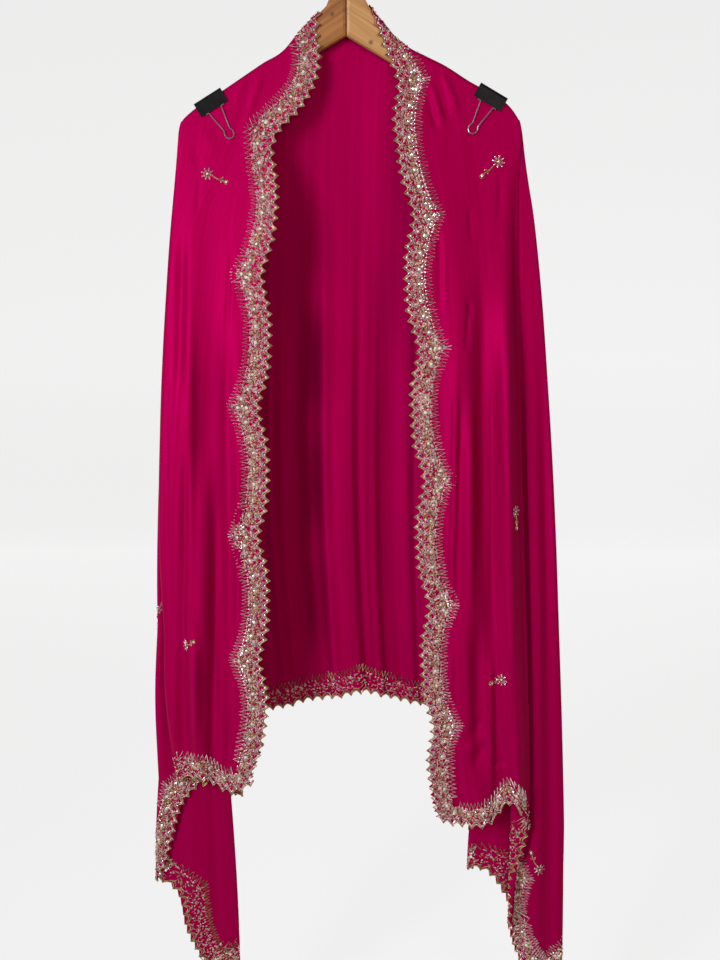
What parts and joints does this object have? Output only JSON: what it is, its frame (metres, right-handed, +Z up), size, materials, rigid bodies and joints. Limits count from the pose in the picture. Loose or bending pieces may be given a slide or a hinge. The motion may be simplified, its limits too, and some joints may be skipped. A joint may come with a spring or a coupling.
{
  "type": "dupatta stole on a wooden hanger",
  "caption": "Long rectangular dupatta stole with a scalloped beaded edge, draped over a wooden coat hanger and held by binder clips; hangs from its hook.",
  "frame": {"origin": "inner top of the hanger's hook, where a rail carries it", "axes": "+Z up, -Y towards whoever faces the garment's front, +X to that person's right"},
  "size_m": [0.5924, 0.1162, 1.5389],
  "materials": {
    "cloth": "soft satin crepe",
    "embroidery": "antique gold thread, sequins and beads on cloth",
    "wood": "clear lacquer",
    "black_steel": "satin black",
    "wire": "bright nickel",
    "hook_metal": "polished"
  },
  "bodies": {
    "root": {"front_panel_left": "cloth", "front_panel_right": "cloth", "side_fall_left": "cloth", "side_fall_right": "cloth", "back_panel": "cloth", "border_front_left": "embroidery", "border_front_right": "embroidery", "border_hem_left": "embroidery", "border_hem_right": "embroidery", "border_side_left": "embroidery", "border_side_right": "embroidery", "border_back": "embroidery", "border_neck": "embroidery", "hanger_wood_left": "wood", "hanger_wood_right": "wood", "clip_body_left": "black_steel", "clip_body_right": "black_steel", "hook": "hook_metal", "hook_ferrule": "hook_metal"},
    "handle_left_front": {"clip_handle_left_front": "wire"},
    "handle_left_rear": {"clip_handle_left_rear": "wire"},
    "handle_right_front": {"clip_handle_right_front": "wire"},
    "handle_right_rear": {"clip_handle_right_rear": "wire"}
  },
  "joints": [
    {"name": "handle_left_front_swing", "type": "hinge", "parent": "root", "child": "handle_left_front", "pos_m": [-0.17288, -0.01065, -0.2466], "axis": [-0.8566, 0, -0.516], "range_deg": [0, 160]},
    {"name": "handle_left_rear_swing", "type": "hinge", "parent": "root", "child": "handle_left_rear", "pos_m": [-0.17288, 0.01065, -0.2466], "axis": [0.8566, 0, 0.516], "range_deg": [0, 160]},
    {"name": "handle_right_front_swing", "type": "hinge", "parent": "root", "child": "handle_right_front", "pos_m": [0.18472, -0.01065, -0.24], "axis": [-0.8684, 0, 0.4958], "range_deg": [0, 160]},
    {"name": "handle_right_rear_swing", "type": "hinge", "parent": "root", "child": "handle_right_rear", "pos_m": [0.18472, 0.01065, -0.24], "axis": [0.8684, 0, -0.4958], "range_deg": [0, 160]}
  ]
}
